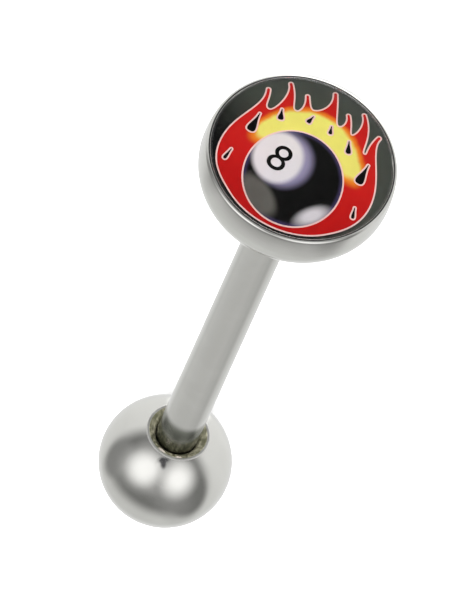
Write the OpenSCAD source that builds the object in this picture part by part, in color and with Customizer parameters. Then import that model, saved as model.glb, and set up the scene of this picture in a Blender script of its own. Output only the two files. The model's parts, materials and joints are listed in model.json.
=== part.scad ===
// A straight tongue barbell, lying unworn on a surface.
// It is a steel bar with a picture head welded to one end and a ball that screws off the other.
// Each piece is turned round one long axis, which starts at the centre of the ball and runs to
// the head. The whole part is then laid down so that the ball and the head both touch the surface.

/* [Ball] */
// Diameter of the ball
ball_d = 5; // [4:0.1:7]
// Width of the sunk ring in the ball, all round the bar
mouth_gap = 0.32; // [0.15:0.01:0.5]
// Depth of the slanted wall of that ring
mouth_slant = 0.3; // [0.15:0.05:0.5]
// Depth of the straight socket under the slanted wall, down to the ledge that stops the bar
socket_depth = 0.3; // [0.1:0.05:0.5]
// Metal left between the end of the threaded hole and the far side of the ball
end_wall = 1.1; // [0.6:0.1:1.6]

/* [Bar] */
// Diameter of the bar, 14 gauge
bar_d = 1.6; // [1.4:0.05:2.2]
// Length of bar that shows between the weld at the head and the ball
bar_len = 16.5; // [8:0.5:25]
// Diameter of the stud that carries the thread
stud_d = 1.14; // [0.9:0.02:1.3]
// Slanted end of the stud
stud_chamfer = 0.12; // [0.05:0.01:0.2]

/* [Head] */
// Widest diameter of the head
head_d = 7.24; // [6.4:0.02:9]
// Height from the widest line of the head up to its lip
rim_height = 0.9; // [0.6:0.05:1.4]
// Depth of the round back under the widest line
back_depth = 2.4; // [1.4:0.1:3.4]
// Radius of the side's outline, from the widest line up to the lip
side_r = 6; // [4:0.5:12]
// Radius of the lip's outer edge
lip_round = 0.12; // [0.05:0.01:0.15]
// Flat width of the lip, between its rounded edge and the pocket
lip_flat = 0.05; // [0.04:0.01:0.2]
// Radius of the weld where the bar meets the back
weld_r = 0.25; // [0.1:0.05:0.4]

/* [Picture and dome] */
// Depth of the pocket in the head
pocket_depth = 0.32; // [0.25:0.01:0.5]
// Thickness of the printed disc
picture_t = 0.15; // [0.05:0.01:0.18]
// Height of the clear dome's crown above the lip
dome_rise = 0.3; // [0.15:0.05:0.6]

/* [Fits] */
// Gap all round the stud in the threaded hole
thread_gap = 0.03; // [0.02:0.01:0.08]
// How much the bar narrows on the radius from the ball's mouth down to its shoulder
end_taper = 0.03; // [0.02:0.01:0.05]
// Gap all round the bar in the socket, on top of the taper
socket_gap = 0.02; // [0.02:0.01:0.05]
// Gap between the bar's shoulder and the ledge
seat_gap = 0.02; // [0.01:0.01:0.05]
// Gap between the end of the stud and the end of the threaded hole
end_gap = 0.2; // [0.1:0.05:0.4]
// Gap between the pocket, the picture and the dome
layer_gap = 0.02; // [0.01:0.01:0.03]

/* [Hidden] */
$fn = 96;
steel = [0.74, 0.74, 0.72];
ink = [0.62, 0.1, 0.08];
resin = [0.85, 0.9, 0.95, 0.4];
// How far the mouth's cutter reaches past the ball
past = 0.1;

ball_r = ball_d / 2;
bar_r = bar_d / 2;
stud_r = stud_d / 2;
head_r = head_d / 2;
shoulder_r = bar_r - end_taper;
socket_r = bar_r + socket_gap;
hole_r = stud_r + thread_gap;
mouth_r = bar_r + mouth_gap;

// Places along the long axis, counted from the centre of the ball towards the head
mouth_s = sqrt(pow(ball_r, 2) - pow(mouth_r, 2));
ledge_s = mouth_s - mouth_slant - socket_depth;
hole_end_s = end_wall - ball_r;
shoulder_s = ledge_s + seat_gap;
stud_end_s = hole_end_s + end_gap;
weld_s = mouth_s + bar_len;
// Radius at which the weld leaves the back, and how far in front of the head's widest line that is
weld_out_r = bar_r + weld_r;
weld_back = back_depth * sqrt(1 - pow(weld_out_r / head_r, 2));
widest_s = weld_s + weld_r + weld_back;
lip_s = widest_s + rim_height;
pocket_s = lip_s - pocket_depth;

// The lip's rounded edge runs smoothly into the side, whose outline is an arc round side_c
side_c = head_r - side_r;
flat_r = side_c + sqrt(pow(side_r - lip_round, 2) - pow(rim_height - lip_round, 2));
lip_angle = asin((rim_height - lip_round) / (side_r - lip_round));
pocket_r = flat_r - lip_flat;
picture_r = pocket_r - layer_gap;
picture_s = pocket_s + layer_gap;
dome_s = picture_s + picture_t + layer_gap;
crown_s = lip_s + dome_rise;
dome_r = (pow(picture_r, 2) + pow(dome_rise, 2)) / (2 * dome_rise);

// Tilt of the long axis when the ball and the round back of the head both touch the surface
reach = pow(widest_s, 2) + pow(head_r, 2) - pow(back_depth, 2);
drop = pow(ball_r * widest_s, 2) + reach * (pow(head_r, 2) - pow(ball_r, 2));
tilt = asin((sqrt(drop) - ball_r * widest_s) / reach);

// Furthest point of the head along the surface, on the crown of the dome or at the lip
crown_x = (crown_s - dome_r) * cos(tilt) + dome_r;
lip_x = lip_s * cos(tilt) + flat_r * sin(tilt);
ball_x = (ball_r - max(crown_x, lip_x)) / 2;

// Points along part of a circle or an ellipse, as [radius, place along the axis]
function arc(r, s, a, b, from, to, steps) =
    [for (i = [0:steps]) let (t = from + (to - from) * i / steps) [r + a * cos(t), s + b * sin(t)]];

// Lays a piece down: the long axis leans up towards the head, over the middle of the surface
module lay() {
    translate([ball_x, 0, ball_r])
        rotate([0, 90 - tilt, 0])
            children();
}

// Outline of the bar and the cup, from the pocket's floor round the back to the end of the stud.
// Where two arcs meet, the second starts one step on, so that no point comes twice.
function bar_and_cup_outline() = concat(
    [[0, pocket_s], [pocket_r, pocket_s], [pocket_r, lip_s]],
    arc(flat_r, lip_s - lip_round, lip_round, lip_round, 90, lip_angle, 5),
    arc(side_c, widest_s, side_r, side_r, lip_angle * 0.75, 0, 3),
    arc(0, widest_s, head_r, back_depth, -4, -acos(weld_out_r / head_r), 20),
    arc(weld_out_r, weld_s, weld_r, weld_r, 105, 180, 5),
    [[bar_r, mouth_s], [shoulder_r, shoulder_s], [stud_r, shoulder_s]],
    [[stud_r, stud_end_s + stud_chamfer], [stud_r - stud_chamfer, stud_end_s], [0, stud_end_s]]
);

module bar_and_cup() {
    color(steel)
        lay()
            rotate_extrude()
                polygon(bar_and_cup_outline());
}

module picture_disc() {
    color(ink)
        lay()
            translate([0, 0, picture_s])
                cylinder(h = picture_t, r = picture_r);
}

// Clear resin: a flat underside on the picture and a shallow round top
module clear_dome() {
    edge_angle = acos(picture_r / dome_r);
    color(resin)
        lay()
            rotate_extrude()
                polygon(concat(
                    [[0, dome_s], [picture_r, dome_s]],
                    arc(0, crown_s - dome_r, dome_r, dome_r, edge_angle, 90, 10)
                ));
}

// The slanted wall is carried on past the mouth at the same slope, to clear the ball's round cap
module ball() {
    slope = (mouth_r - socket_r) / mouth_slant;
    cap = ball_r - mouth_s + past;
    color(steel)
        lay()
            difference() {
                sphere(r = ball_r);
                translate([0, 0, mouth_s - mouth_slant])
                    cylinder(h = mouth_slant + cap, r1 = socket_r, r2 = mouth_r + slope * cap);
                translate([0, 0, ledge_s])
                    cylinder(h = mouth_s - ledge_s, r = socket_r);
                translate([0, 0, hole_end_s])
                    cylinder(h = mouth_s - hole_end_s, r = hole_r);
            }
}

bar_and_cup();
picture_disc();
clear_dome();
ball();
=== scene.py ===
# %% [markdown]
# # A tongue barbell with a picture head
#
# The jewel is a straight steel bar. At one end a flat round cup is welded on, which holds a printed
# picture under a clear dome of resin, and at the other end a ball screws off. It lies unworn on a
# pale surface, so it rests on the ball and on the cup's wide edge, and the bar slopes a little.
#
# The frame brings the plain solids in metres. Everything below is placed by what they measure.

# %% Load the frame
import json
from math import acos, asin, atan2, cos, degrees, pi, radians, sin, sqrt

import bmesh
import bpy
from mathutils import Matrix, Vector


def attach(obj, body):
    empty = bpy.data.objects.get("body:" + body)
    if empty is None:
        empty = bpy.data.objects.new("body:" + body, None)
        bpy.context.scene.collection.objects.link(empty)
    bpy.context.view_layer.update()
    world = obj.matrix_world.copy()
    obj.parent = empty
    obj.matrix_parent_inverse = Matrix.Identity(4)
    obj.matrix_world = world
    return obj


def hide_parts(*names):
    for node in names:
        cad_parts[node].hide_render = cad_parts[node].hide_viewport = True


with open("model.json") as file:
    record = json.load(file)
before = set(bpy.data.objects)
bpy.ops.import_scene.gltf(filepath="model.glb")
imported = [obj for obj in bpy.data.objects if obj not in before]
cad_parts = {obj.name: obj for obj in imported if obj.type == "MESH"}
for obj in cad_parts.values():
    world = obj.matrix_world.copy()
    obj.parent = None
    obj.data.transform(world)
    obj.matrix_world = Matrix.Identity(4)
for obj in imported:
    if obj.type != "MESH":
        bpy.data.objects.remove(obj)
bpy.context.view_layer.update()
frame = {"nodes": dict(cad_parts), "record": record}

# %% [markdown]
# ## One straight axis
#
# Every piece is round about one axis, because the real ones are turned on a lathe or poured into a
# round cup. So each is made standing up: the ball's centre at zero, the axis along Z towards the
# head, and sizes in millimetres. One matrix, LAY, then lays it down where the solids lie. The
# record's mount gives a point on the axis and its direction, and the solids' own points give the
# places along it.

# %% Find the axis and the ball's centre
MM = 0.001
mount = frame["record"]["mounts"][0]
bar_r = mount["dims"]["r_mm"]
bar_len = mount["dims"]["length_mm"]
axis = -Vector(mount["axis"]).normalized()
on_axis = Vector(mount["pos_m"])


def places(node_name):
    """Lowest place, highest place and widest radius of a solid, in metres from the mount's point."""
    offsets = [vert.co - on_axis for vert in frame["nodes"][node_name].data.vertices]
    along = [offset.dot(axis) for offset in offsets]
    across = [(offset - axis * offset.dot(axis)).length for offset in offsets]
    return min(along), max(along), max(across)


ball_low, _, ball_reach = places("ball")
ball_r = round(ball_reach / MM, 3)
centre = on_axis + axis * (ball_low + ball_r * MM)
tilt = asin(axis.z)
LAY = Matrix.Translation(centre) @ Matrix.Rotation(pi / 2 - tilt, 4, "Y") @ Matrix.Scale(MM, 4)
print("ball radius", ball_r, "mm, tilt", round(degrees(tilt), 3), "degrees, centre", centre)

# %% Measure the solids along the axis, in millimetres from the ball's centre


def spots(node_name):
    """Lowest place, highest place and widest radius of a solid, in millimetres from the ball's centre."""
    low, high, wide = places(node_name)
    shift = ball_low + ball_r * MM
    return (low - shift) / MM, (high - shift) / MM, wide / MM


mouth_s = spots("ball")[1]
stud_end_s, lip_s, head_r = spots("bar_and_cup")
picture_s, picture_top, picture_r = spots("picture_disc")
crown_s = spots("clear_dome")[1]
weld_s = mouth_s + bar_len
for name, value in (("mouth", mouth_s), ("stud end", stud_end_s), ("weld", weld_s), ("lip", lip_s),
                    ("head radius", head_r), ("picture", picture_s), ("picture top", picture_top),
                    ("picture radius", picture_r), ("crown", crown_s)):
    print(name, round(value, 4), "mm")

# %% [markdown]
# ## The camera comes first
#
# The photograph looks from the picture's side, about 33 degrees off the bar's own direction, with the
# camera turned so that the floor is nearly at the top. The picture is a circle that shows as an
# ellipse, and its ratio gives the angle between the view and the bar. The way from the ball to the
# picture gives the camera's own turn. A long lens from far away keeps both ends nearly at one scale,
# as the photograph does.

# %% Set the camera at the photograph's angle
OFF_AXIS = radians(33.4)
IMAGE_TURN = radians(24.3)
PICTURE_SIZE = (470, 600)
BALL_AT = (165.2, 461.2)
PIXELS_PER_MM = 26.85
CAMERA_MM = 620
SENSOR = 36
NEAR, FAR = 0.01, 10

turn = LAY.to_3x3().normalized()
look_back = turn @ Vector((-sin(OFF_AXIS), 0, cos(OFF_AXIS)))
along_bar = turn @ Vector((cos(OFF_AXIS), 0, sin(OFF_AXIS)))
across_bar = along_bar.cross(look_back)
image_up = cos(IMAGE_TURN) * along_bar - sin(IMAGE_TURN) * across_bar
image_right = cos(IMAGE_TURN) * across_bar + sin(IMAGE_TURN) * along_bar

right_mm = (PICTURE_SIZE[0] / 2 - BALL_AT[0]) / PIXELS_PER_MM
up_mm = (BALL_AT[1] - PICTURE_SIZE[1] / 2) / PIXELS_PER_MM
aim = centre + (image_right * right_mm + image_up * up_mm) * MM
camera_data = bpy.data.cameras.new("camera")
camera_data.sensor_width = SENSOR
camera_data.lens = SENSOR * PIXELS_PER_MM * CAMERA_MM / PICTURE_SIZE[1]
camera_data.clip_start = NEAR
camera_data.clip_end = FAR
camera = bpy.data.objects.new("camera", camera_data)
bpy.context.scene.collection.objects.link(camera)
stand = Matrix((image_right, image_up, look_back)).transposed().to_4x4()
camera.matrix_world = Matrix.Translation(aim + look_back * CAMERA_MM * MM) @ stand
bpy.context.scene.camera = camera
print("lens", round(camera_data.lens), "mm, camera at", camera.matrix_world.translation)

# %% [markdown]
# ## Outlines that are spun
#
# A lathe cuts a round piece from one outline. Here an outline starts as a single point, straight runs
# extrude it, and arcs spin it a little way round a centre. The last spin, once round the axis, makes
# the piece. Points on the axis fall together there, so merging them closes the poles.

# %% Tools for drawing an outline


def first_point(bm, radius, place):
    """Starts an outline at a radius and a place along the axis."""
    return bm.verts.new((radius, 0, place))


def line_to(bm, point, radius, place, runs=1):
    """Carries the outline on in a straight line, in one or more equal runs."""
    start = point.co.copy()
    end = Vector((radius, 0, place))
    for step in range(1, runs + 1):
        point = bmesh.ops.extrude_vert_indiv(bm, verts=[point])["verts"][0]
        point.co = start.lerp(end, step / runs)
    return point


def arc_on(bm, point, radius, place, angle, steps, squash=1.0):
    """Carries the outline on round a centre. A positive angle turns from the head outwards."""
    point.co.z = place + (point.co.z - place) / squash
    before = set(bm.verts) - {point}
    spun = bmesh.ops.spin(bm, geom=[point], cent=(radius, 0, place), axis=(0, 1, 0),
                          angle=angle, steps=steps)
    made = [vert for vert in bm.verts if vert not in before]
    bmesh.ops.scale(bm, vec=(1, 1, squash), space=Matrix.Translation((0, 0, -place)), verts=made)
    return [item for item in spun["geom_last"] if isinstance(item, bmesh.types.BMVert)][0]


# %% Tools that round the outline's corners and turn it round the axis
TURN_STEPS = 144
MERGE = 0.0001


def round_off(bm, points, size, segments):
    """Rounds corners of an outline."""
    bmesh.ops.bevel(bm, geom=points, offset=size, affect="VERTICES", segments=segments,
                    profile=0.5, material=-1)


def turn_round(bm):
    """Spins the whole outline once round the axis and closes it."""
    bmesh.ops.spin(bm, geom=bm.verts[:] + bm.edges[:], cent=(0, 0, 0), axis=(0, 0, 1),
                   angle=2 * pi, steps=TURN_STEPS, use_merge=True)
    bmesh.ops.remove_doubles(bm, verts=bm.verts, dist=MERGE)
    bmesh.ops.recalc_face_normals(bm, faces=bm.faces)


print("each piece is turned in", TURN_STEPS, "steps, and points closer than", MERGE, "mm are merged")

# %% Tools that finish a mesh and seat it in the frame
SHARP = radians(35)


def soften(bm):
    """Shades the faces smooth and keeps the corners sharp."""
    for face in bm.faces:
        face.smooth = True
    for edge in bm.edges:
        edge.smooth = edge.calc_face_angle(0) < SHARP


def add_piece(name, bm, body, node_name, materials):
    """Lays a finished mesh down as a piece that stands for a solid and moves with its body."""
    soften(bm)
    bm.transform(LAY)
    mesh = bpy.data.meshes.new(name)
    bm.to_mesh(mesh)
    bm.free()
    for material in materials:
        mesh.materials.append(material)
    piece = bpy.data.objects.new(name, mesh)
    bpy.context.scene.collection.objects.link(piece)
    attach(piece, body)
    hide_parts(node_name)
    mesh.calc_loop_triangles()
    print(name, len(mesh.loop_triangles), "triangles")


print("edges sharper than", round(degrees(SHARP)), "degrees stay sharp")

# %% [markdown]
# ## Shader helpers
#
# Each material is a small net of nodes. These helpers add a node, set its values or links in one
# call, and give back its output. Patterns are measured in millimetres along the jewel's own axis: a
# Mapping node takes the object's coordinates back to the standing position, so a ring is a ring.

# %% Fill a socket and add a node


def fill(tree, socket, value):
    """Links another node's output to a socket, or sets the socket's own value."""
    if isinstance(value, bpy.types.NodeSocket):
        tree.links.new(value, socket)
    else:
        socket.default_value = value


def add_node(tree, kind, inputs=None, **settings):
    """Adds a node, sets its options, and sets or links its inputs."""
    made = tree.nodes.new(kind)
    for key, value in settings.items():
        setattr(made, key, value)
    for key, value in (inputs or {}).items():
        fill(tree, made.inputs[key], value)
    return made


# %% Work out values, vectors and colours
GIVES_NUMBER = ("LENGTH", "DOT_PRODUCT")


def maths(tree, operation, first, second=0.0, clamp=False):
    """The result of one Math node."""
    return add_node(tree, "ShaderNodeMath", {0: first, 1: second}, operation=operation,
                    use_clamp=clamp).outputs[0]


def smooth_step(tree, value, low, high, out_low=0.0, out_high=1.0):
    """Takes a value smoothly from one range to another."""
    return add_node(tree, "ShaderNodeMapRange", {0: value, 1: low, 2: high, 3: out_low, 4: out_high},
                    interpolation_type="SMOOTHSTEP").outputs[0]


def vector_maths(tree, operation, first, second=(0, 0, 0)):
    """The result of one Vector Math node: a number for a length or a dot product, or else a vector."""
    made = add_node(tree, "ShaderNodeVectorMath", {0: first, 1: second}, operation=operation)
    return made.outputs["Value" if operation in GIVES_NUMBER else "Vector"]


def blend_colours(tree, factor, under, over):
    """Mixes two colours. A factor of 0 gives the one under, and 1 the one over."""
    return add_node(tree, "ShaderNodeMix", {0: factor, 6: under, 7: over}, data_type="RGBA").outputs[2]


# %% Start a material, find places on it and feed it


def standing_mm(tree):
    """The place on the piece in millimetres, standing on the ball's centre with the axis along Z."""
    spot = add_node(tree, "ShaderNodeTexCoord").outputs["Object"]
    return add_node(tree, "ShaderNodeMapping", {
        "Vector": spot, "Location": centre, "Rotation": (0, pi / 2 - tilt, 0), "Scale": (MM, MM, MM),
    }, vector_type="TEXTURE").outputs[0]


def new_material(name):
    """An empty material with its surface shader, ready to be fed."""
    material = bpy.data.materials.new(name)
    material.use_nodes = True
    tree = material.node_tree
    return material, tree, tree.nodes["Principled BSDF"]


def feed(tree, shader, **sockets):
    """Links or sets sockets of the surface shader, named with underscores for spaces."""
    for key, value in sockets.items():
        fill(tree, shader.inputs[key.replace("_", " ")], value)


# %% Make a node group and place it


def new_group(name, inputs, outputs):
    """An empty node group with named sockets. Each input is (name, kind, value)."""
    group = bpy.data.node_groups.new(name, "ShaderNodeTree")
    for label, kind, value in inputs:
        made = group.interface.new_socket(name=label, in_out="INPUT", socket_type="NodeSocket" + kind)
        if value is not None:
            made.default_value = value
    for label, kind in outputs:
        group.interface.new_socket(name=label, in_out="OUTPUT", socket_type="NodeSocket" + kind)
    came_in = group.nodes.new("NodeGroupInput")
    goes_out = group.nodes.new("NodeGroupOutput")
    return group, came_in.outputs, goes_out.inputs


def use_group(tree, group, inputs):
    """Places a node group in a material and returns its outputs."""
    return add_node(tree, "ShaderNodeGroup", inputs, node_tree=group).outputs


# %% [markdown]
# ## Effects that several finishes share
#
# Polished steel that has been handled is never perfectly even. Three effects give it life, and each
# is a node group used with its own values: hair-fine scratches that run in a few directions, rings
# left by turning, and soft smudges that dull the polish a little here and there. A fourth group gives
# a soft oval mask, which later draws two painted glints in the ball's mouth, the print's lights and
# the room itself.

# %% Hair scratches as a node group
SCRATCH_STRETCH = (1.0, 0.04, 0.04)
SCRATCH_PEAKS = (0.62, 0.72)

scratches, given, put = new_group(
    "hair_scratches",
    [("Place", "Vector", None), ("Turn", "Vector", (0, 0, 0)), ("Fineness", "Float", 30.0)],
    [("Mask", "Float")])
turned = add_node(scratches, "ShaderNodeMapping", {"Vector": given["Place"], "Rotation": given["Turn"]})
drawn_out = vector_maths(scratches, "MULTIPLY", turned.outputs[0], SCRATCH_STRETCH)
grain = add_node(scratches, "ShaderNodeTexNoise", {
    "Vector": drawn_out, "Scale": given["Fineness"], "Detail": 3.0, "Roughness": 0.6})
scratches.links.new(smooth_step(scratches, grain.outputs[0], *SCRATCH_PEAKS), put["Mask"])

# %% Turning rings as a node group
rings, given, put = new_group(
    "turning_rings",
    [("Place", "Vector", None), ("Rings per mm", "Float", 20.0), ("Waver", "Float", 0.02)],
    [("Height", "Float")])
parts = add_node(rings, "ShaderNodeSeparateXYZ", {0: given["Place"]})
wander = add_node(rings, "ShaderNodeTexNoise", {"Vector": given["Place"], "Scale": 0.8})
waver = maths(rings, "MULTIPLY", wander.outputs[0], given["Waver"])
shifted = maths(rings, "ADD", parts.outputs["Z"], waver)
lined = add_node(rings, "ShaderNodeTexNoise", {
    "W": maths(rings, "MULTIPLY", shifted, given["Rings per mm"]), "Scale": 1.0, "Detail": 4.0,
    "Roughness": 0.7}, noise_dimensions="1D")
rings.links.new(lined.outputs[0], put["Height"])

# %% Soft smudges as a node group
CLOUD_LOW = 0.3
CLOUD_HIGH = 0.75

smudges, given, put = new_group(
    "soft_smudges",
    [("Place", "Vector", None), ("Size mm", "Float", 1.0), ("Low", "Float", 0.05), ("High", "Float", 0.15)],
    [("Value", "Float")])
cloud = add_node(smudges, "ShaderNodeTexNoise", {
    "Vector": given["Place"], "Scale": maths(smudges, "DIVIDE", 1.0, given["Size mm"]),
    "Detail": 4.0, "Roughness": 0.6, "Distortion": 0.4})
smudged = add_node(smudges, "ShaderNodeMapRange", {
    0: cloud.outputs[0], 1: CLOUD_LOW, 2: CLOUD_HIGH, 3: given["Low"], 4: given["High"]})
smudges.links.new(smudged.outputs[0], put["Value"])

# %% A soft oval as a node group
soft_oval, given, put = new_group(
    "soft_oval",
    [("Place", "Vector", None), ("Centre", "Vector", (0, 0, 0)), ("Turn", "Vector", (0, 0, 0)),
     ("Radii", "Vector", (1, 1, 1)), ("Inner", "Float", 0.8), ("Outer", "Float", 1.0)],
    [("Mask", "Float")])
moved = add_node(soft_oval, "ShaderNodeMapping", {
    "Vector": given["Place"], "Location": given["Centre"], "Rotation": given["Turn"],
    "Scale": given["Radii"]}, vector_type="TEXTURE")
flat = vector_maths(soft_oval, "MULTIPLY", moved.outputs[0], (1, 1, 0))
far = vector_maths(soft_oval, "LENGTH", flat)
fade = smooth_step(soft_oval, far, given["Inner"], given["Outer"], 1.0, 0.0)
soft_oval.links.new(fade, put["Mask"])


def oval_mask(tree, place, across, up, wide, high, inner, outer, turned_by=0.0):
    """A soft oval on a flat drawing: full inside one share of its radii, and gone outside another."""
    return use_group(tree, soft_oval, {
        "Place": place, "Centre": (across, up, 0), "Turn": (0, 0, radians(turned_by)),
        "Radii": (wide, high, 1), "Inner": inner, "Outer": outer})["Mask"]


print("node groups:", [group.name for group in (scratches, rings, smudges, soft_oval)])

# %% [markdown]
# ## Steel
#
# All the metal is one surgical steel, pale with a slight warm grey. Only the finish differs: the ball
# is polished bright, the bar is ground and polished, so it keeps faint rings that blur reflections
# along it, the cup is brushed a little softer, and the mouth's narrow rim stays satin, because it is
# cut after the ball is polished. The finish is in the roughness and a very small bump.
#
# The end of the bar, beside the ball, is darkened by painted shade, which stands for the ball's dark
# mouth that the bar mirrors there. It has a soft upper edge, worked out from the place along the
# axis, and it darkens the metal and dulls its gloss.

# %% A steel finish with its own values
STEEL = (0.765, 0.76, 0.738, 1)
STEEL_DULL = (0.65, 0.645, 0.623, 1)
# the colour of the painted shade on the bar's end, for the ball's dark mouth that the bar mirrors
STEEL_PAINTED_SHADE = (0.218, 0.225, 0.193, 1)
PAINTED_SHADE_FADE = 0.28
PAINTED_SHADE_BLUR = 0.12
SCRATCH_BLUR = 0.08
TINT_SIZE = 1.7
TINT_RANGE = 0.5


def steel_finish(name, smooth, dull, smudge_mm, ring_lines, ring_depth_mm, scratch_depth_mm,
                 grey=0.0, painted_shade_top=None):
    """Steel with smudged roughness, rings and scratches. Grey darkens it; painted shade darkens it up to a
    top.
    """
    material, tree, shader = new_material(name)
    place = standing_mm(tree)
    rough = use_group(tree, smudges, {"Place": place, "Size mm": smudge_mm, "Low": smooth, "High": dull})
    one = use_group(tree, scratches, {"Place": place, "Turn": (0.3, 0.5, 0.9)})
    two = use_group(tree, scratches, {"Place": place, "Turn": (1.1, -0.4, 2.3), "Fineness": 22.0})
    scratched = maths(tree, "MAXIMUM", one["Mask"], two["Mask"])
    ringed = use_group(tree, rings, {"Place": place, "Rings per mm": ring_lines})
    height = maths(tree, "SUBTRACT", maths(tree, "MULTIPLY", ringed["Height"], ring_depth_mm),
                   maths(tree, "MULTIPLY", scratched, scratch_depth_mm))
    bump = add_node(tree, "ShaderNodeBump", {"Height": height, "Distance": MM, "Strength": 1.0})
    tint = use_group(tree, smudges, {
        "Place": place, "Size mm": smudge_mm * TINT_SIZE, "Low": grey, "High": grey + TINT_RANGE})
    colour = blend_colours(tree, tint["Value"], STEEL, STEEL_DULL)
    blur = maths(tree, "ADD", rough["Value"], maths(tree, "MULTIPLY", scratched, SCRATCH_BLUR))
    # painted shade: the bar's end is darkened where it mirrors the ball's dark mouth, and its gloss is
    # duller
    if painted_shade_top is not None:
        along = add_node(tree, "ShaderNodeSeparateXYZ", {0: place}).outputs["Z"]
        painted_shade = smooth_step(tree, along, painted_shade_top - PAINTED_SHADE_FADE, painted_shade_top + PAINTED_SHADE_FADE, 1.0, 0.0)
        colour = blend_colours(tree, painted_shade, colour, STEEL_PAINTED_SHADE)
        blur = maths(tree, "ADD", blur, maths(tree, "MULTIPLY", painted_shade, PAINTED_SHADE_BLUR))
    feed(tree, shader, Base_Color=colour, Metallic=1.0, Roughness=blur, Normal=bump.outputs[0])
    return material


# %% The five steel finishes
# how far up from the mouth the painted shade on the bar's end reaches, in millimetres
PAINTED_SHADE_LENGTH = 1.42

# roughness from and to, smudge size, rings to the millimetre, depth of rings and of scratches
ball_steel = steel_finish("steel_ball_polish", 0.07, 0.11, 1.4, 14.0, 0.00015, 0.00015)
bar_steel = steel_finish("steel_bar_ground", 0.07, 0.13, 1.1, 34.0, 0.0002, 0.0002,
                         grey=0.75, painted_shade_top=mouth_s + PAINTED_SHADE_LENGTH)
cup_steel = steel_finish("steel_cup_satin", 0.11, 0.18, 1.6, 22.0, 0.0003, 0.0003, grey=0.1)
thread_steel = steel_finish("steel_thread_cut", 0.22, 0.34, 0.6, 60.0, 0.0008, 0.0004)
rim_steel = steel_finish("steel_rim_satin", 0.34, 0.46, 0.5, 30.0, 0.0004, 0.0003)
for finish in (ball_steel, bar_steel, cup_steel, thread_steel, rim_steel):
    print("steel finish:", finish.name)

# %% [markdown]
# ## The mouth's turned steel
#
# Inside the ball's mouth nobody polishes. The cutter leaves coarse rings there, and oil and polish
# dry in them, so it looks a brownish olive with paler specks. Dried polish is no metal, so where the
# specks are pale the surface is partly matt. Two pale matt dabs on the mouth's edge are painted
# glints: the studio lights, mirrored by the slant, painted into its colour.

# %% The olive steel inside the ball's mouth
MOUTH_DARK = (0.34, 0.33, 0.225, 1)
MOUTH_PALE = (0.76, 0.725, 0.55, 1)
# the colour of the painted glints, which stand for the studio lights mirrored in the slant
GLINT_COLOUR = (0.42, 0.37, 0.33, 1)
# the painted glints' places across the axis and their half width and height, in millimetres
GLINT_PLACES = [(-1.05, 0.30), (-1.08, -0.41)]
GLINT_SIZE = (0.20, 0.17)
GLINT_FADE = (0.5, 1.1)
# where the specks come in, and where the rings do with their shade there
SPECK_FADE = (0.2, 0.8)
RING_SHADE = (0.35, 0.65, 0.5, 1.0)
BARE_METAL = 0.90
SPECK_METAL = 0.68
MOUTH_ROUGH = 0.32
MOUTH_UNEVEN = 0.15


def mouth_finish():
    """Coarsely turned steel with dried polish in the rings, and two painted glints on its edge."""
    material, tree, shader = new_material("steel_mouth_turned")
    place = standing_mm(tree)
    ringed = use_group(tree, rings, {"Place": place, "Rings per mm": 26.0, "Waver": 0.05})
    bump = add_node(tree, "ShaderNodeBump", {
        "Height": ringed["Height"], "Distance": 0.006 * MM, "Strength": 1.0})
    dirt = use_group(tree, smudges, {"Place": place, "Size mm": 0.24, "Low": 0.0, "High": 1.0})["Value"]
    lines = smooth_step(tree, ringed["Height"], *RING_SHADE)
    shade = maths(tree, "MULTIPLY", smooth_step(tree, dirt, *SPECK_FADE), lines, clamp=True)
    colour = blend_colours(tree, shade, MOUTH_DARK, MOUTH_PALE)
    # painted glints: two pale matt ovals that stand for the studio lights mirrored in the slant
    glint_mask = maths(tree, "MAXIMUM", *[oval_mask(tree, place, *at, *GLINT_SIZE, *GLINT_FADE) for at in GLINT_PLACES])
    bare = smooth_step(tree, shade, 0.0, 1.0, BARE_METAL, SPECK_METAL)
    bare = maths(tree, "SUBTRACT", bare, glint_mask, clamp=True)
    blur = maths(tree, "ADD", maths(tree, "MULTIPLY", dirt, MOUTH_UNEVEN), MOUTH_ROUGH)
    feed(tree, shader, Base_Color=blend_colours(tree, glint_mask, colour, GLINT_COLOUR), Metallic=bare,
         Roughness=blur, Normal=bump.outputs[0])
    return material


mouth_steel = mouth_finish()
print("steel finish:", mouth_steel.name, "with", len(GLINT_PLACES), "dabs")

# %% [markdown]
# ## Screw threads
#
# A thread is one ridge wound round the stud. The ridge's section is a small closed shape with a wide
# foot and a narrow crest, and a spin with a rise at every step winds it up. The ball's own thread is
# the same ridge turned inside out, so one function makes both. Its two ends are closed with a face.

# %% Wind a thread ridge
PITCH = 0.25
THREAD_STEPS = 32
FOOT_SHARE = 0.42
CREST_SHARE = 0.1


def wind_thread(bm, foot_r, crest_r, low, high):
    """Adds a helical ridge between two places along the axis, from its foot's radius to its crest's."""
    half_foot = PITCH * FOOT_SHARE
    half_crest = PITCH * CREST_SHARE
    turns = (high - low - 2 * half_foot) / PITCH
    steps = round(turns * THREAD_STEPS)
    section = [(foot_r, -half_foot), (crest_r, -half_crest), (crest_r, half_crest), (foot_r, half_foot)]
    corners = [bm.verts.new((radius, 0, low + half_foot + rise)) for radius, rise in section]
    start = bm.faces.new(corners)
    bmesh.ops.spin(bm, geom=[start], cent=(0, 0, 0), axis=(0, 0, 1),
                   dvec=(0, 0, turns * PITCH / steps), angle=turns * 2 * pi, steps=steps)


print("thread pitch", PITCH, "mm")

# %% [markdown]
# ## The ball
#
# A bought steel ball is drilled and threaded from one side, and its mouth is cut to a slanted ring so
# that the bar's end sinks in and no edge is left to feel. The outline runs from the far pole round
# the ball to the rim, which is an arc of its own that touches both the ball and the slant, so no
# facet shows where they meet. It goes on down the slant, with two fine steps that the cutter left,
# down the socket to the ledge, and down the hole. Each face then gets the steel of the stretch that
# it lies on.

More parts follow.
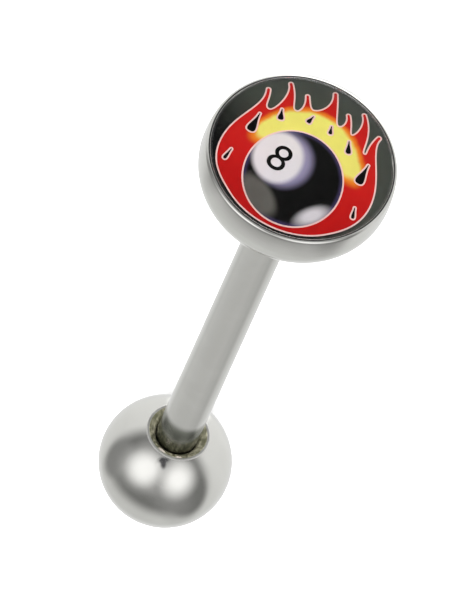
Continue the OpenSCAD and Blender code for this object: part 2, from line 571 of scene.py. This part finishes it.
# %% Measure the ball's mouth and its rounded rim
MOUTH_GAP = 0.32
MOUTH_SLANT = 0.3
RIM_ROUND = 0.15
SOCKET_GAP = 0.02
SOCKET_DEPTH = 0.3

mouth_r = bar_r + MOUTH_GAP
socket_r = bar_r + SOCKET_GAP
# the slant is cut at 45 degrees, and the rim's arc touches both it and the ball
reach = (mouth_r + mouth_s) / sqrt(2)
cut_back = reach - sqrt(reach ** 2 - RIM_ROUND * (2 * ball_r + (mouth_r - mouth_s) * sqrt(2)))
round_at = (mouth_r + (RIM_ROUND - cut_back) / sqrt(2), mouth_s - (RIM_ROUND + cut_back) / sqrt(2))
round_from = atan2(*round_at)
rounded_r = round_at[0] + RIM_ROUND * sin(round_from)
ledge_s = mouth_s - MOUTH_SLANT - SOCKET_DEPTH
print("the mouth's rounded rim starts", round(degrees(round_from), 1), "degrees off the axis")

# %% Make the ball
HOLE_R = 0.6
HOLE_END = -1.4
THREAD_CUT = 0.06
LEDGE_ROUND = 0.02
BALL_STEPS = 72
RIM_STEPS = 10
# how far outside the socket and how far below the mouth each corner of the slant lies
SLANT_STEPS = [(0.20, 0.10), (0.17, 0.11), (0.10, 0.20), (0.07, 0.21)]

bm = bmesh.new()
pole = first_point(bm, 0, -ball_r)
point = arc_on(bm, pole, 0, 0, round_from - pi, BALL_STEPS)
point = arc_on(bm, point, *round_at, -(round_from + pi / 4), RIM_STEPS)
for out, down in SLANT_STEPS:
    point = line_to(bm, point, socket_r + out, mouth_s - down)
foot = line_to(bm, point, socket_r, mouth_s - MOUTH_SLANT)
ledge = line_to(bm, foot, socket_r, ledge_s, runs=2)
hole = line_to(bm, ledge, HOLE_R + THREAD_CUT, ledge_s)
bottom = line_to(bm, hole, HOLE_R + THREAD_CUT, HOLE_END, runs=4)
line_to(bm, bottom, 0, HOLE_END)
round_off(bm, [ledge, hole], LEDGE_ROUND, segments=2)
turn_round(bm)
print("the ball has", len(bm.faces), "faces before its thread")

# %% Give each face its steel, and thread the hole
SKIN = 0.03
EDGE = 0.02
DRILLED_SHARE = 0.8
HOLE_RUN_OUT = 0.2
HOLE_LEAD_IN = 0.05
RIDGE_SINK = 0.01
POLISHED, TURNED, SATIN = range(3)

for face in bm.faces:
    middle = face.calc_center_median()
    near_mouth = middle.z > 0 and middle.xy.length < rounded_r
    slanted = near_mouth and middle.xy.length < mouth_r - EDGE and middle.length < ball_r - SKIN
    drilled = middle.length < ball_r * DRILLED_SHARE
    face.material_index = TURNED if slanted or drilled else SATIN if near_mouth else POLISHED
before = len(bm.faces)
wind_thread(bm, HOLE_R + THREAD_CUT + RIDGE_SINK, HOLE_R, HOLE_END + HOLE_RUN_OUT, ledge_s - HOLE_LEAD_IN)
for face in bm.faces[before:]:
    face.material_index = TURNED
bmesh.ops.recalc_face_normals(bm, faces=bm.faces)
add_piece("screw_ball", bm, "end_ball", "ball", [ball_steel, mouth_steel, rim_steel])

# %% [markdown]
# ## The bar and its cup
#
# The cup is turned with a thin lip and a round back, and the bar is welded to the back. One outline
# makes them: the pocket's floor and wall, the rounded lip, the gently curved side, the round back,
# the weld's small hollow, the long bar, and the threaded stud. The side is turned a little proud
# under the lip, and the edge of the lip is rounded, which is what draws the bright line round the
# picture.

# %% Measure the cup
RIM_HEIGHT = 0.9
BACK_DEPTH = 2.4
SIDE_R = 6.0
LIP_ROUND = 0.12
LIP_FLAT = 0.05
WELD_R = 0.25
POCKET_DEPTH = 0.32

head_r = round(head_r, 2)
side_c = head_r - SIDE_R
flat_r = side_c + sqrt((SIDE_R - LIP_ROUND) ** 2 - (RIM_HEIGHT - LIP_ROUND) ** 2)
lip_angle = asin((RIM_HEIGHT - LIP_ROUND) / (SIDE_R - LIP_ROUND))
pocket_r = flat_r - LIP_FLAT
widest_s = lip_s - RIM_HEIGHT
weld_out_r = bar_r + WELD_R
print("cup", 2 * head_r, "mm wide, its pocket", round(2 * pocket_r, 2), "mm")

# %% Make the bar and cup
END_TAPER = 0.03
SEAT_GAP = 0.02
STUD_CHAMFER = 0.12
CORE_R = 0.46
LIP_EDGE = 0.015
SHOULDER_ROUND = 0.03
LIP_STEPS = SIDE_STEPS = 10
BACK_STEPS = 44
WELD_STEPS = 8
BAR_RUNS = 24

shoulder_s = ledge_s + SEAT_GAP
bm = bmesh.new()
point = first_point(bm, 0, lip_s - POCKET_DEPTH)
floor_corner = line_to(bm, point, pocket_r, lip_s - POCKET_DEPTH, runs=6)
lip_corner = line_to(bm, floor_corner, pocket_r, lip_s, runs=3)
point = line_to(bm, lip_corner, flat_r, lip_s)
point = arc_on(bm, point, flat_r, lip_s - LIP_ROUND, pi / 2 - lip_angle, LIP_STEPS)
point = arc_on(bm, point, side_c, widest_s, lip_angle, SIDE_STEPS)
point = arc_on(bm, point, 0, widest_s, acos(weld_out_r / head_r), BACK_STEPS, squash=BACK_DEPTH / head_r)
point = arc_on(bm, point, weld_out_r, weld_s, -pi / 2, WELD_STEPS)
point = line_to(bm, point, bar_r, mouth_s, BAR_RUNS)
shoulder = line_to(bm, point, bar_r - END_TAPER, shoulder_s, runs=2)
point = line_to(bm, shoulder, CORE_R, shoulder_s)
point = line_to(bm, point, CORE_R, stud_end_s + STUD_CHAMFER, runs=4)
point = line_to(bm, point, CORE_R - STUD_CHAMFER, stud_end_s)
line_to(bm, point, 0, stud_end_s)
round_off(bm, [lip_corner], LIP_EDGE, segments=3)
round_off(bm, [shoulder], SHOULDER_ROUND, segments=3)
turn_round(bm)
print("the bar and cup have", len(bm.faces), "faces before the thread")

# %% Give the cup, the bar and the stud their steel, and thread the stud
STUD_R = 0.57
STUD_TIP = 0.08
STUD_NECK = 0.1
CUP, BAR, THREAD = range(3)

for face in bm.faces:
    place = face.calc_center_median().z
    on_bar = place > shoulder_s - SEAT_GAP / 2
    face.material_index = CUP if place > weld_s + WELD_R / 2 else BAR if on_bar else THREAD
before = len(bm.faces)
wind_thread(bm, CORE_R - RIDGE_SINK, STUD_R, stud_end_s + STUD_TIP, shoulder_s - STUD_NECK)
for face in bm.faces[before:]:
    face.material_index = THREAD
bmesh.ops.recalc_face_normals(bm, faces=bm.faces)
add_piece("bar_and_picture_cup", bm, "stem", "bar_and_cup",
          [cup_steel, bar_steel, thread_steel])

# %% [markdown]
# ## The printed picture
#
# The picture is a print on a thin disc. Its theme is an old one on such jewels and on jackets, a pool
# ball in flames, and the drawing here is this part's own: rising flames from a short table of tips
# and hollows. Each ink is a thin closed slab on the disc, with its top a few thousandths of a
# millimetre above the ink below, much as screen printing lays them. The slabs are flat curves, given
# a little depth, made into meshes and then laid on the disc.

# %% Press a flat curve on the disc as one layer of ink
INK_STEP = 0.006
INK_SINK = 0.002
# slot 0 is the disc's own dark ground
PALE, FLAME, POOL, BLACK = range(1, 5)
PICTURE = Matrix.Translation((0, 0, picture_top)) @ Matrix.Rotation(-pi / 2, 4, "Z")


def press_ink(bm, curve, layer, ink, place=Matrix.Identity(4)):
    """Makes a flat curve a mesh, joins it to the picture and gives it its ink."""
    shape = bpy.data.objects.new("ink", curve)
    bpy.context.scene.collection.objects.link(shape)
    mesh = bpy.data.meshes.new_from_object(shape.evaluated_get(bpy.context.evaluated_depsgraph_get()))
    middle = (layer * INK_STEP - INK_SINK) / 2
    mesh.transform(PICTURE @ place @ Matrix.Translation((0, 0, middle)))
    before = len(bm.faces)
    bm.from_mesh(mesh)
    bm.faces.ensure_lookup_table()
    for face in bm.faces[before:]:
        face.material_index = ink
    bpy.data.objects.remove(shape)
    bpy.data.meshes.remove(mesh)


print("each ink's top lies", INK_STEP, "mm above the one below")

# %% Draw closed outlines as a flat curve and press it on
CURVE_STEPS = 16


def lay_ink(bm, loops, layer, ink, grow=0.0):
    """Adds closed outlines, each a list of (point, handle before, handle after), as one ink layer."""
    curve = bpy.data.curves.new("ink", "CURVE")
    curve.dimensions = "2D"
    curve.fill_mode = "BOTH"
    curve.resolution_u = CURVE_STEPS
    curve.extrude = (layer * INK_STEP + INK_SINK) / 2
    curve.offset = grow
    for loop in loops:
        spline = curve.splines.new("BEZIER")
        spline.bezier_points.add(len(loop) - 1)
        spline.use_cyclic_u = True
        for knot, (at, before_at, after_at) in zip(spline.bezier_points, loop):
            knot.handle_left_type = knot.handle_right_type = "FREE"
            knot.co = at
            knot.handle_left = before_at
            knot.handle_right = after_at
    press_ink(bm, curve, layer, ink)


# %% A heading, and a rounded tip that leans along it
BULGE = 1.3


def heading(angle, length=1.0):
    """A step in the design, turned clockwise from straight up by an angle in degrees."""
    return Vector((length * sin(radians(angle)), length * cos(radians(angle)), 0))


def tip_knots(tip, leans, left_reach, right_reach, half_width):
    """A rounded tip: two knots side by side, with sides that run along the way the tip leans."""
    aside = heading(leans + 90, half_width)
    cap = heading(leans, half_width * BULGE)
    left, right = tip - aside, tip + aside
    return [(left, left - heading(leans, left_reach), left + cap),
            (right, right + cap, right - heading(leans, right_reach))]


# %% The design's shapes: flames, teardrop holes and ovals
DROP_TIP = 0.02
# how far a handle reaches, as a share of the radius, so that four knots draw a round oval
ROUND = 0.5523


def flame_outline(rows):
    """A wreath of flames, clockwise. A row is right, up, heading, reach before and after, half width."""
    loop = []
    for across, up, way, before, after, half_width in rows:
        at = Vector((across, up, 0))
        if half_width:
            loop += tip_knots(at, way, before, after, half_width)
        else:
            loop.append((at, at - heading(way, before), at + heading(way, after)))
    return loop


def drop_outline(across, up, leans, length, half_width):
    """A teardrop hole: round at the bottom, with a fine tip that leans."""
    low = Vector((across, up, 0))
    side = heading(leans + 90, half_width * BULGE)
    tip = low + heading(leans, length)
    return [(low, low + side, low - side)] + tip_knots(tip, leans, length / 2, length / 2, DROP_TIP)


def oval(across, up, wide, high):
    """An oval round a centre, as four knots."""
    middle = Vector((across, up, 0))
    loop = []
    for step in range(4):
        out = Vector((sin(step * pi / 2) * wide, cos(step * pi / 2) * high, 0))
        tangent = Vector((cos(step * pi / 2) * wide, -sin(step * pi / 2) * high, 0)) * ROUND
        loop.append((middle + out, middle + out - tangent, middle + out + tangent))
    return loop


# %% The drawing's own tables, in millimetres from the picture's middle
# right, up, heading in degrees, reach before, reach after, half width of a tip (0 for a plain knot)
FLAMES = [
    (-2.92, -0.60, 3, 1.10, 1.20, 0),
    (-2.12, 2.16, -16, 0.85, 0.50, 0.05),
    (-1.80, 1.34, 92, 0.28, 0.22, 0),
    (-1.46, 2.78, -32, 0.50, 0.75, 0.05),
    (-0.90, 1.74, 92, 0.24, 0.20, 0),
    (-0.73, 2.56, -24, 0.40, 0.34, 0.045),
    (-0.34, 2.07, 92, 0.14, 0.20, 0),
    (0.16, 3.16, -20, 0.66, 1.00, 0.055),
    (0.74, 1.88, 92, 0.20, 0.14, 0),
    (0.90, 2.52, -30, 0.34, 0.46, 0.045),
    (1.28, 1.78, 92, 0.12, 0.18, 0),
    (1.42, 2.84, -36, 0.42, 1.00, 0.05),
    (1.97, 1.26, 92, 0.22, 0.20, 0),
    (2.24, 2.20, 20, 0.75, 0.65, 0.05),
    (2.92, -0.50, 178, 1.15, 1.10, 0),
    (1.88, -2.52, 230, 0.55, 0.45, 0),
    (0.00, -3.17, 270, 0.90, 0.90, 0),
    (-1.88, -2.52, 310, 0.45, 0.55, 0),
]
# right, up, lean in degrees, length, half width
DROPS = [
    (-2.12, 0.16, 5, 0.86, 0.26),
    (-1.28, 1.12, -12, 0.46, 0.17),
    (-0.34, 1.48, 16, 0.36, 0.13),
    (0.56, 1.42, -10, 0.34, 0.11),
    (1.44, 0.98, -16, 0.52, 0.16),
    (2.20, 0.00, 5, 0.90, 0.26),
    (-2.56, -1.36, 12, 0.50, 0.10),
    (2.54, -1.46, -10, 0.46, 0.10),
]
# right, up, half width, half height
POOL_BALL = (0.0, -0.98, 1.80, 2.00)
KEYLINE = 0.06
print(len(FLAMES), "knots of flame and", len(DROPS), "holes")

# %% [markdown]
# ## Inks
#
# The flames run from yellow beside the ball to red at the tips, which is a blend in the print, so it
# is a blend in the ink's material and not more shapes. The ground is black low on the left, with a
# painted sheen that lightens it to a dark greenish grey up and to the right, where the dome mirrors
# the room. The pool ball is black with the soft lights that make it look round: a white spot that
# fades through violet on its right, a pale light low on the right and a dull one on the left. Each is
# a soft oval mask, placed in the picture's own millimetres. A fine grain makes every ink uneven, as
# print is.

# %% Printed grain as a node group
print_grain, given, put = new_group(
    "print_grain", [("Place", "Vector", None), ("Colour", "Color", (1, 1, 1, 1)), ("Amount", "Float", 0.1)],
    [("Colour", "Color")])
speckle = add_node(print_grain, "ShaderNodeTexNoise", {
    "Vector": given["Place"], "Scale": 26.0, "Detail": 2.0})
blotch = add_node(print_grain, "ShaderNodeTexNoise", {
    "Vector": given["Place"], "Scale": 2.2, "Detail": 1.0})
uneven = maths(print_grain, "ADD", maths(print_grain, "SUBTRACT", speckle.outputs[0], 0.5),
               maths(print_grain, "SUBTRACT", blotch.outputs[0], 0.5))
lift = maths(print_grain, "ADD", maths(print_grain, "MULTIPLY", uneven, given["Amount"]), 1.0)
print_grain.links.new(vector_maths(print_grain, "MULTIPLY", given["Colour"], lift), put["Colour"])
print("node group:", print_grain.name)

# %% What every ink is made of
INK_TOOTH = (0.2, 0.8)
INK_ROUGH = (0.45, 0.6)


def design_mm(tree):
    """The place on the picture in its own millimetres: right, up and out."""
    return add_node(tree, "ShaderNodeMapping", {
        "Vector": standing_mm(tree), "Rotation": (0, 0, -pi / 2)}, vector_type="TEXTURE").outputs[0]


def ink(name, colour_of, amount=0.12):
    """An ink whose colour is worked out by colour_of(tree, place)."""
    material, tree, shader = new_material(name)
    place = design_mm(tree)
    grain = use_group(tree, print_grain, {
        "Place": place, "Colour": colour_of(tree, place), "Amount": amount})
    tooth = add_node(tree, "ShaderNodeTexNoise", {"Vector": place, "Scale": 40.0})
    bump = add_node(tree, "ShaderNodeBump", {"Height": tooth.outputs[0], "Distance": 0.001 * MM})
    rough = smooth_step(tree, tooth.outputs[0], *INK_TOOTH, *INK_ROUGH)
    feed(tree, shader, Base_Color=grain["Colour"], Roughness=rough, Normal=bump.outputs[0],
         Specular_IOR_Level=0.0)
    return material


# %% The ground's colour and its painted sheen
INK_BLACK = (0.006, 0.006, 0.006, 1)
# the painted sheen: the dome's reflection, painted on the dark ground up and to the right
GROUND_PAINTED_SHEEN = (0.068, 0.078, 0.066, 1)
SHEEN_SLANT = (0.5, 0.866, 0)
SHEEN_FADE = (-2.4, 1.2)


def ground_and_sheen_colour(tree, place):
    """Black low on the left, lightened by a painted sheen to a dark greenish grey up and to the right."""
    fade = smooth_step(tree, vector_maths(tree, "DOT_PRODUCT", place, SHEEN_SLANT), *SHEEN_FADE)
    return blend_colours(tree, fade, INK_BLACK, GROUND_PAINTED_SHEEN)


# %% The flames' colours
INK_RED = (0.60, 0.016, 0.014, 1)
INK_DEEP_RED = (0.50, 0.009, 0.009, 1)
INK_ORANGE = (0.84, 0.22, 0.02, 1)
INK_YELLOW = (0.88, 0.84, 0.19, 1)
# right, up, half width, half height, full inside, gone outside
FLAME_GLOW = (0.10, -0.62, 2.60, 3.10, 0.74, 1.02)
FLAME_SWAY = 0.35
# heights over which the glow comes in and the red gets lighter, then how hot orange and yellow are
GLOW_UP = (-0.7, 0.6)
RED_UP = (-2.6, 0.5)
ORANGE_HEAT = (0.15, 0.5)
YELLOW_HEAT = (0.45, 0.8)


def flame_colour(tree, place):
    """Yellow beside the pool ball's top, through orange to red, and deeper red low down."""
    shake = add_node(tree, "ShaderNodeTexNoise", {"Vector": place, "Scale": 1.6, "Detail": 2.0})
    glow = oval_mask(tree, place, *FLAME_GLOW)
    sway = maths(tree, "MULTIPLY", maths(tree, "SUBTRACT", shake.outputs[0], 0.5), FLAME_SWAY)
    hot = maths(tree, "ADD", glow, sway)
    height = add_node(tree, "ShaderNodeSeparateXYZ", {0: place}).outputs["Y"]
    hot = maths(tree, "MULTIPLY", hot, smooth_step(tree, height, *GLOW_UP), clamp=True)
    red = blend_colours(tree, smooth_step(tree, height, *RED_UP), INK_DEEP_RED, INK_RED)
    orange = blend_colours(tree, smooth_step(tree, hot, *ORANGE_HEAT), red, INK_ORANGE)
    return blend_colours(tree, smooth_step(tree, hot, *YELLOW_HEAT), orange, INK_YELLOW)


# %% The pool ball's colours
INK_WHITE = (0.80, 0.77, 0.80, 1)
INK_VIOLET = (0.36, 0.33, 0.52, 1)
INK_NIGHT = (0.05, 0.04, 0.10, 1)
INK_SHEEN = (0.125, 0.122, 0.11, 1)
INK_CRESCENT = (0.72, 0.71, 0.75, 1)
BLACK_PART = (0.90, 0.99)
# right and up from the ball's middle, half width, half height, full inside, gone outside, turned by,
# strength, colour
POOL_LIGHTS = [
    (-0.92, -1.25, 1.05, 0.62, 0.60, 1.10, -38, 1.0, INK_SHEEN),
    (1.16, -1.12, 0.88, 0.40, 0.25, 1.10, 50, 1.0, INK_CRESCENT),
    (-0.55, 0.58, 1.10, 1.26, 0.70, 1.10, 0, 0.85, INK_VIOLET),
    (-0.80, 0.56, 0.98, 1.16, 0.80, 1.06, 0, 1.0, INK_WHITE),
]


def pool_ball_colour(tree, place):
    """Glossy black with a white spot and soft printed lights."""
    across, up, wide, high = POOL_BALL
    inner_part = oval_mask(tree, place, across, up, wide, high, *BLACK_PART)
    colour = blend_colours(tree, inner_part, INK_NIGHT, INK_BLACK)
    for right_by, up_by, *sizes, turned_by, strength, light in POOL_LIGHTS:
        mask = oval_mask(tree, place, across + right_by, up + up_by, *sizes, turned_by)
        colour = blend_colours(tree, maths(tree, "MULTIPLY", mask, strength), colour, light)
    return colour


# %% The five inks, in the order of their slots
INK_PALE = (0.90, 0.64, 0.61, 1)

ground_ink = ink("ink_dark_ground", ground_and_sheen_colour)
black_ink = ink("ink_black", lambda tree, place: INK_BLACK)
pale_ink = ink("ink_pale_line", lambda tree, place: INK_PALE)
flame_ink = ink("ink_flame_blend", flame_colour)
pool_ink = ink("ink_pool_ball", pool_ball_colour, amount=0.08)
inks = [ground_ink, pale_ink, flame_ink, pool_ink, black_ink]
print("inks:", [material.name for material in inks])

# %% Print the picture
DISC_ROUND = 0.01

bm = bmesh.new()
point = first_point(bm, 0, picture_s)
edge_low = line_to(bm, point, picture_r, picture_s, runs=2)
edge_high = line_to(bm, edge_low, picture_r, picture_top)
line_to(bm, edge_high, 0, picture_top, runs=2)
round_off(bm, [edge_high], DISC_ROUND, segments=2)
turn_round(bm)

flames = [flame_outline(FLAMES)]
holes = [drop_outline(*row) for row in DROPS]
round_ball = [oval(*POOL_BALL)]
for step, (loops, colour) in enumerate(((flames, FLAME), (holes, BLACK), (round_ball, POOL))):
    lay_ink(bm, loops, 2 * step + 1, PALE, KEYLINE)
    lay_ink(bm, loops, 2 * step + 2, colour)
print("printed", 2 * (step + 1), "layers of ink")

# %% Print the ball's plain number and finish the picture
NUMERAL_LAYER = 7
NUMERAL_SIZE = 1.62
NUMERAL_AT = (POOL_BALL[0] - 0.75, POOL_BALL[1] + 0.50, 0)
NUMERAL_TURN = radians(-14)
NUMERAL_THINNED = -0.004

numeral = bpy.data.curves.new("numeral", "FONT")
numeral.body = "8"
numeral.size = NUMERAL_SIZE
numeral.align_x = "CENTER"
numeral.align_y = "CENTER"
numeral.offset = NUMERAL_THINNED
numeral.extrude = (NUMERAL_LAYER * INK_STEP + INK_SINK) / 2
numeral_place = Matrix.Translation(NUMERAL_AT) @ Matrix.Rotation(NUMERAL_TURN, 4, "Z")
press_ink(bm, numeral, NUMERAL_LAYER, BLACK, numeral_place)
bmesh.ops.remove_doubles(bm, verts=bm.verts, dist=MERGE)
bmesh.ops.recalc_face_normals(bm, faces=bm.faces)
add_piece("printed_picture", bm, "stem", "picture_disc", inks)

# %% [markdown]
# ## The clear dome
#
# Clear resin is poured on the print and draws itself up into a shallow dome that reaches the lip. It
# wets the print, so no air lies between them: the dome's flat underside is sunk a hair below the
# disc's top, and all the inks lie inside the resin. Its material lets light through as glass does,
# with a gloss that is not quite even, because resin sets by itself.

# %% The clear resin
RESIN_TINT = (0.985, 0.99, 0.985, 1)
RESIN_IOR = 1.5

resin, tree, shader = new_material("resin_clear")
place = standing_mm(tree)
swell = add_node(tree, "ShaderNodeTexNoise", {"Vector": place, "Scale": 0.7, "Detail": 1.0})
bump = add_node(tree, "ShaderNodeBump", {"Height": swell.outputs[0], "Distance": 0.012 * MM})
haze = use_group(tree, smudges, {"Place": place, "Size mm": 0.9, "Low": 0.01, "High": 0.05})
feed(tree, shader, Base_Color=RESIN_TINT, Roughness=haze["Value"], Normal=bump.outputs[0],
     IOR=RESIN_IOR, Transmission_Weight=1.0)
print("clear finish:", resin.name)

# %% Make the dome
RESIN_SINK = 0.01
RESIN_GRIP = 0.002
DOME_ROUND = 0.02
DOME_STEPS = 32

resin_r = pocket_r + RESIN_GRIP
resin_low = picture_top - RESIN_SINK
rise = crown_s - lip_s
dome_r = (picture_r ** 2 + rise ** 2) / (2 * rise)
edge_angle = asin(resin_r / dome_r)
bm = bmesh.new()
pole = first_point(bm, 0, crown_s)
edge = arc_on(bm, pole, 0, crown_s - dome_r, edge_angle, DOME_STEPS)
low_edge = line_to(bm, edge, resin_r, resin_low)
line_to(bm, low_edge, 0, resin_low, runs=2)
round_off(bm, [edge], DOME_ROUND, segments=3)
turn_round(bm)
add_piece("resin_dome", bm, "stem", "clear_dome", [resin])

# %% [markdown]
# ## The floor
#
# The jewel lies on a plain pale surface that is lit so evenly that it shows almost no shadow. The
# floor is a wide disc with a faint grain. It is kept out of the metal's reflections, because there
# the photograph shows only the pale surround, with no edge and no shadow.

# %% Lay the floor
FLOOR_R = 3.0
PAPER_LOW = (0.93, 0.93, 0.93, 1)
PAPER_HIGH = (0.96, 0.96, 0.96, 1)

floor_material, tree, shader = new_material("floor_paper")
spot = add_node(tree, "ShaderNodeTexCoord").outputs["Object"]
fibre = add_node(tree, "ShaderNodeTexNoise", {"Vector": spot, "Scale": 900.0, "Detail": 3.0})
pale = blend_colours(tree, fibre.outputs[0], PAPER_LOW, PAPER_HIGH)
feed(tree, shader, Base_Color=pale, Roughness=0.9, Specular_IOR_Level=0.0)

bm = bmesh.new()
bmesh.ops.create_circle(bm, cap_ends=True, segments=64, radius=FLOOR_R)
floor_mesh = bpy.data.meshes.new("floor")
bm.to_mesh(floor_mesh)
bm.free()
floor_mesh.materials.append(floor_material)
floor = bpy.data.objects.new("floor", floor_mesh)
bpy.context.scene.collection.objects.link(floor)
floor.visible_glossy = False
print("floor radius", FLOOR_R, "m")

# %% [markdown]
# ## Soft studio light
#
# Polished steel shows the room, so the light is part of the finish. The ball is a mirror, and its
# image in the photograph tells where the lights stood: two soft ones beside the camera, in a dim
# tilted shape that is the room seen past the camera, and all round it a pale surround that dims
# towards the floor's far side. So the room is painted as that mirror shows it, in soft ovals laid
# over each other. For any direction, the ball's slope that mirrors it to the camera is the middle
# between the two, and the slope's sideways part is the place on the mirror. All that lies behind the
# jewel falls on the mirror's very edge, where a plain grey takes over.
#
# The bar hides two places on the ball, which other pieces mirror: a bright one, the lit floor
# straight below, and a dark one that lies over the clear dome and keeps its inks deep. The room is
# for reflections alone. Everything matt is lit by an even pale sky, with its own value for what lies
# under the resin. The floor is so bright that it shows as plain white.

# %% The room's colours, and its ovals as the ball mirrors them
EVEN_SKY = (3.2, 3.2, 3.2, 1)
UNDER_RESIN = (0.9, 0.9, 0.9, 1)
ROOM_BRIGHT = (1.17, 1.175, 1.16, 1)
ROOM_SHADED = (0.445, 0.45, 0.435, 1)
ROOM_DIM = (0.19, 0.192, 0.185, 1)
ROOM_SIDE = (0.27, 0.272, 0.265, 1)
ROOM_GREY = (0.325, 0.325, 0.32, 1)
ROOM_GLOW = (1.22, 1.22, 1.21, 1)
ROOM_LIGHT = (1.25, 1.25, 1.24, 1)
ROOM_LENS = (0.06, 0.06, 0.065, 1)
ROOM_LAMP = (2.6, 2.6, 2.58, 1)
ROOM_DARK = (0.06, 0.06, 0.06, 1)
ROOM_BEHIND = (0.84, 0.845, 0.84, 1)
SHADE_ACROSS = (0.13, 0.27, 0)
SHADE_FADE = (-1, 1)
# place on the mirror, half width and height, turned by, full inside, gone outside, colour
MIRRORED = [
    ((0.36, 0.79), (0.29, 0.16), -24, 0.55, 1.35, ROOM_LAMP),
    ((0.21, 0.48), (0.24, 0.19), -24, 0.70, 1.15, ROOM_DARK),
    ((-0.11, -0.17), (0.77, 0.59), -28, 0.80, 1.15, ROOM_DIM),
    ((0.34, -0.48), (0.26, 0.36), -21, 0.75, 1.20, ROOM_DIM),
    ((-0.69, 0.05), (0.19, 0.31), -25, 0.65, 1.25, ROOM_SIDE),
    ((-0.15, -0.10), (0.65, 0.48), 0, 0.0, 1.0, ROOM_GLOW),
    ((0.01, -0.22), (0.38, 0.82), 18, 0.25, 1.10, ROOM_GREY),
    ((-0.29, -0.10), (0.22, 0.20), 10, 0.30, 1.70, ROOM_LIGHT),
    ((0.19, -0.27), (0.19, 0.22), -32, 0.25, 1.80, ROOM_LIGHT),
    ((-0.02, 0.025), (0.095, 0.045), 8, 0.5, 1.3, ROOM_LENS),
    ((-0.025, -0.03), (0.045, 0.085), 0, 0.5, 1.3, ROOM_LENS),
]
print("the room has", len(MIRRORED), "soft ovals")

# %% Find each direction's place on the ball's mirror
world = bpy.data.worlds.new("studio")
bpy.context.scene.world = world
world.use_nodes = True
tree = world.node_tree
backdrop = tree.nodes["Background"]
direction = add_node(tree, "ShaderNodeTexCoord").outputs["Generated"]
slope = vector_maths(tree, "NORMALIZE", vector_maths(tree, "ADD", direction, look_back))
mirror = add_node(tree, "ShaderNodeCombineXYZ", {
    "X": vector_maths(tree, "DOT_PRODUCT", slope, image_right),
    "Y": vector_maths(tree, "DOT_PRODUCT", slope, image_up)}).outputs[0]
print("world nodes so far:", len(tree.nodes))

# %% Paint the room and light the world
EDGE_FADE = (0.93, 0.99)

shade = smooth_step(tree, vector_maths(tree, "DOT_PRODUCT", mirror, SHADE_ACROSS), *SHADE_FADE)
room = blend_colours(tree, shade, ROOM_SHADED, ROOM_BRIGHT)
for spot_at, radii, turned_by, inner, outer, colour in MIRRORED:
    mask = oval_mask(tree, mirror, *spot_at, *radii, inner, outer, turned_by)
    room = blend_colours(tree, mask, room, colour)
at_edge = smooth_step(tree, vector_maths(tree, "LENGTH", mirror), *EDGE_FADE)
room = blend_colours(tree, at_edge, room, ROOM_BEHIND)
ray = add_node(tree, "ShaderNodeLightPath").outputs
sky = blend_colours(tree, ray["Is Transmission Ray"], EVEN_SKY, UNDER_RESIN)
clear_of_resin = maths(tree, "SUBTRACT", 1.0, ray["Is Transmission Ray"])
reflected = maths(tree, "MULTIPLY", ray["Is Glossy Ray"], clear_of_resin)
tree.links.new(blend_colours(tree, reflected, sky, room), backdrop.inputs["Color"])
bpy.context.scene.view_settings.view_transform = "Standard"
print("world nodes in all:", len(tree.nodes))
